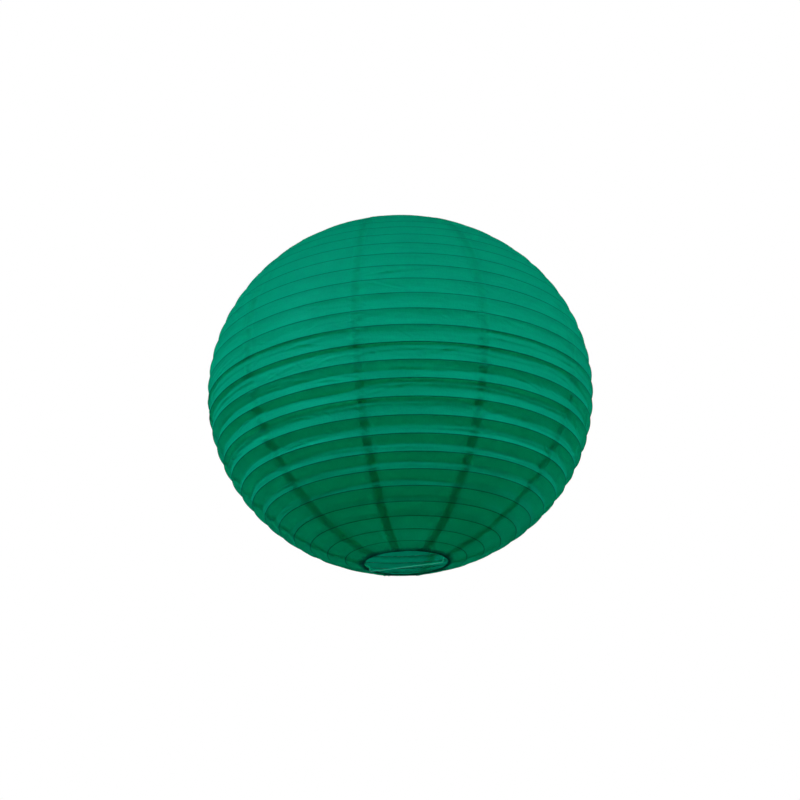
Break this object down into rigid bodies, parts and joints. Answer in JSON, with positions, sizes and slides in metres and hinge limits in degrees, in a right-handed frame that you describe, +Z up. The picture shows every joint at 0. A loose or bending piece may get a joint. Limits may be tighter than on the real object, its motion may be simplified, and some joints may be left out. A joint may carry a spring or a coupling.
{
  "type": "round paper lantern",
  "caption": "Round hanging paper lantern: paper gores over wire hoops between two open mouth rings, spread by a bent wire expander with a hanging eye.",
  "frame": {"origin": "the bearing point inside the top of the hanging eye, on the lantern's axis", "axes": "+Z up along the lantern's axis, +X along the expander's bottom bar, +Y by the right-hand rule"},
  "size_m": [0.5992, 0.5992, 0.5796],
  "materials": {
    "paper": "dyed sea-green tissue-like lantern paper, faintly glazed, crinkled",
    "rib_wire": "thin spring wire, dull",
    "mouth_ring": "dark drawn wire",
    "expander_wire": "bright wire with a sea-green lacquer"
  },
  "bodies": {
    "expander": {"expander_wire": "expander_wire"},
    "top_ring_and_paper": {"top_ring": "mouth_ring", "paper_gore_01": "paper", "paper_gore_02": "paper", "paper_gore_03": "paper", "paper_gore_04": "paper", "paper_gore_05": "paper", "paper_gore_06": "paper", "paper_gore_07": "paper", "paper_gore_08": "paper", "paper_gore_09": "paper", "paper_gore_10": "paper"},
    "bottom_ring": {"bottom_ring": "mouth_ring"},
    "hoop_01": {"rib_hoop_01": "rib_wire"},
    "hoop_02": {"rib_hoop_02": "rib_wire"},
    "hoop_03": {"rib_hoop_03": "rib_wire"},
    "hoop_04": {"rib_hoop_04": "rib_wire"},
    "hoop_05": {"rib_hoop_05": "rib_wire"},
    "hoop_06": {"rib_hoop_06": "rib_wire"},
    "hoop_07": {"rib_hoop_07": "rib_wire"},
    "hoop_08": {"rib_hoop_08": "rib_wire"},
    "hoop_09": {"rib_hoop_09": "rib_wire"},
    "hoop_10": {"rib_hoop_10": "rib_wire"},
    "hoop_11": {"rib_hoop_11": "rib_wire"},
    "hoop_12": {"rib_hoop_12": "rib_wire"},
    "hoop_13": {"rib_hoop_13": "rib_wire"},
    "hoop_14": {"rib_hoop_14": "rib_wire"},
    "hoop_15": {"rib_hoop_15": "rib_wire"},
    "hoop_16": {"rib_hoop_16": "rib_wire"},
    "hoop_17": {"rib_hoop_17": "rib_wire"},
    "hoop_18": {"rib_hoop_18": "rib_wire"},
    "hoop_19": {"rib_hoop_19": "rib_wire"},
    "hoop_20": {"rib_hoop_20": "rib_wire"},
    "hoop_21": {"rib_hoop_21": "rib_wire"},
    "hoop_22": {"rib_hoop_22": "rib_wire"},
    "hoop_23": {"rib_hoop_23": "rib_wire"},
    "hoop_24": {"rib_hoop_24": "rib_wire"},
    "hoop_25": {"rib_hoop_25": "rib_wire"},
    "hoop_26": {"rib_hoop_26": "rib_wire"},
    "hoop_27": {"rib_hoop_27": "rib_wire"},
    "hoop_28": {"rib_hoop_28": "rib_wire"}
  },
  "joints": [
    {"name": "lift_off_expander", "type": "slide", "parent": "expander", "child": "top_ring_and_paper", "axis": [0, 0, 1], "range_m": [0, 0.6]},
    {"name": "collapse", "type": "slide", "parent": "top_ring_and_paper", "child": "bottom_ring", "axis": [0, 0, 1], "range_m": [0, 0.51], "deforming": ["paper_gore_01", "paper_gore_02", "paper_gore_03", "paper_gore_04", "paper_gore_05", "paper_gore_06", "paper_gore_07", "paper_gore_08", "paper_gore_09", "paper_gore_10"]},
    {"name": "gather_01", "type": "slide", "parent": "top_ring_and_paper", "child": "hoop_01", "axis": [0, 0, 1], "range_m": [0, 0.0069]},
    {"name": "gather_02", "type": "slide", "parent": "top_ring_and_paper", "child": "hoop_02", "axis": [0, 0, 1], "range_m": [0, 0.0156]},
    {"name": "gather_03", "type": "slide", "parent": "top_ring_and_paper", "child": "hoop_03", "axis": [0, 0, 1], "range_m": [0, 0.0265]},
    {"name": "gather_04", "type": "slide", "parent": "top_ring_and_paper", "child": "hoop_04", "axis": [0, 0, 1], "range_m": [0, 0.0394]},
    {"name": "gather_05", "type": "slide", "parent": "top_ring_and_paper", "child": "hoop_05", "axis": [0, 0, 1], "range_m": [0, 0.0542]},
    {"name": "gather_06", "type": "slide", "parent": "top_ring_and_paper", "child": "hoop_06", "axis": [0, 0, 1], "range_m": [0, 0.0708]},
    {"name": "gather_07", "type": "slide", "parent": "top_ring_and_paper", "child": "hoop_07", "axis": [0, 0, 1], "range_m": [0, 0.0889]},
    {"name": "gather_08", "type": "slide", "parent": "top_ring_and_paper", "child": "hoop_08", "axis": [0, 0, 1], "range_m": [0, 0.1084]},
    {"name": "gather_09", "type": "slide", "parent": "top_ring_and_paper", "child": "hoop_09", "axis": [0, 0, 1], "range_m": [0, 0.1291]},
    {"name": "gather_10", "type": "slide", "parent": "top_ring_and_paper", "child": "hoop_10", "axis": [0, 0, 1], "range_m": [0, 0.1508]},
    {"name": "gather_11", "type": "slide", "parent": "top_ring_and_paper", "child": "hoop_11", "axis": [0, 0, 1], "range_m": [0, 0.1733]},
    {"name": "gather_12", "type": "slide", "parent": "top_ring_and_paper", "child": "hoop_12", "axis": [0, 0, 1], "range_m": [0, 0.1963]},
    {"name": "gather_13", "type": "slide", "parent": "top_ring_and_paper", "child": "hoop_13", "axis": [0, 0, 1], "range_m": [0, 0.2198]},
    {"name": "gather_14", "type": "slide", "parent": "top_ring_and_paper", "child": "hoop_14", "axis": [0, 0, 1], "range_m": [0, 0.2436]},
    {"name": "gather_15", "type": "slide", "parent": "top_ring_and_paper", "child": "hoop_15", "axis": [0, 0, 1], "range_m": [0, 0.2674]},
    {"name": "gather_16", "type": "slide", "parent": "top_ring_and_paper", "child": "hoop_16", "axis": [0, 0, 1], "range_m": [0, 0.2912]},
    {"name": "gather_17", "type": "slide", "parent": "top_ring_and_paper", "child": "hoop_17", "axis": [0, 0, 1], "range_m": [0, 0.3147]},
    {"name": "gather_18", "type": "slide", "parent": "top_ring_and_paper", "child": "hoop_18", "axis": [0, 0, 1], "range_m": [0, 0.3377]},
    {"name": "gather_19", "type": "slide", "parent": "top_ring_and_paper", "child": "hoop_19", "axis": [0, 0, 1], "range_m": [0, 0.3602]},
    {"name": "gather_20", "type": "slide", "parent": "top_ring_and_paper", "child": "hoop_20", "axis": [0, 0, 1], "range_m": [0, 0.3819]},
    {"name": "gather_21", "type": "slide", "parent": "top_ring_and_paper", "child": "hoop_21", "axis": [0, 0, 1], "range_m": [0, 0.4026]},
    {"name": "gather_22", "type": "slide", "parent": "top_ring_and_paper", "child": "hoop_22", "axis": [0, 0, 1], "range_m": [0, 0.4221]},
    {"name": "gather_23", "type": "slide", "parent": "top_ring_and_paper", "child": "hoop_23", "axis": [0, 0, 1], "range_m": [0, 0.4402]},
    {"name": "gather_24", "type": "slide", "parent": "top_ring_and_paper", "child": "hoop_24", "axis": [0, 0, 1], "range_m": [0, 0.4568]},
    {"name": "gather_25", "type": "slide", "parent": "top_ring_and_paper", "child": "hoop_25", "axis": [0, 0, 1], "range_m": [0, 0.4716]},
    {"name": "gather_26", "type": "slide", "parent": "top_ring_and_paper", "child": "hoop_26", "axis": [0, 0, 1], "range_m": [0, 0.4845]},
    {"name": "gather_27", "type": "slide", "parent": "top_ring_and_paper", "child": "hoop_27", "axis": [0, 0, 1], "range_m": [0, 0.4954]},
    {"name": "gather_28", "type": "slide", "parent": "top_ring_and_paper", "child": "hoop_28", "axis": [0, 0, 1], "range_m": [0, 0.5041]}
  ],
  "couplings": [
    {"joint": "gather_01", "follows": "collapse", "ratio": 0.012637},
    {"joint": "gather_02", "follows": "collapse", "ratio": 0.029685},
    {"joint": "gather_03", "follows": "collapse", "ratio": 0.050979},
    {"joint": "gather_04", "follows": "collapse", "ratio": 0.076295},
    {"joint": "gather_05", "follows": "collapse", "ratio": 0.10536},
    {"joint": "gather_06", "follows": "collapse", "ratio": 0.13784},
    {"joint": "gather_07", "follows": "collapse", "ratio": 0.1734},
    {"joint": "gather_08", "follows": "collapse", "ratio": 0.21166},
    {"joint": "gather_09", "follows": "collapse", "ratio": 0.25223},
    {"joint": "gather_10", "follows": "collapse", "ratio": 0.29473},
    {"joint": "gather_11", "follows": "collapse", "ratio": 0.33878},
    {"joint": "gather_12", "follows": "collapse", "ratio": 0.38401},
    {"joint": "gather_13", "follows": "collapse", "ratio": 0.43008},
    {"joint": "gather_14", "follows": "collapse", "ratio": 0.47664},
    {"joint": "gather_15", "follows": "collapse", "ratio": 0.52336},
    {"joint": "gather_16", "follows": "collapse", "ratio": 0.56992},
    {"joint": "gather_17", "follows": "collapse", "ratio": 0.61599},
    {"joint": "gather_18", "follows": "collapse", "ratio": 0.66122},
    {"joint": "gather_19", "follows": "collapse", "ratio": 0.70527},
    {"joint": "gather_20", "follows": "collapse", "ratio": 0.74777},
    {"joint": "gather_21", "follows": "collapse", "ratio": 0.78834},
    {"joint": "gather_22", "follows": "collapse", "ratio": 0.8266},
    {"joint": "gather_23", "follows": "collapse", "ratio": 0.86216},
    {"joint": "gather_24", "follows": "collapse", "ratio": 0.89464},
    {"joint": "gather_25", "follows": "collapse", "ratio": 0.9237},
    {"joint": "gather_26", "follows": "collapse", "ratio": 0.94902},
    {"joint": "gather_27", "follows": "collapse", "ratio": 0.97032},
    {"joint": "gather_28", "follows": "collapse", "ratio": 0.98736}
  ]
}
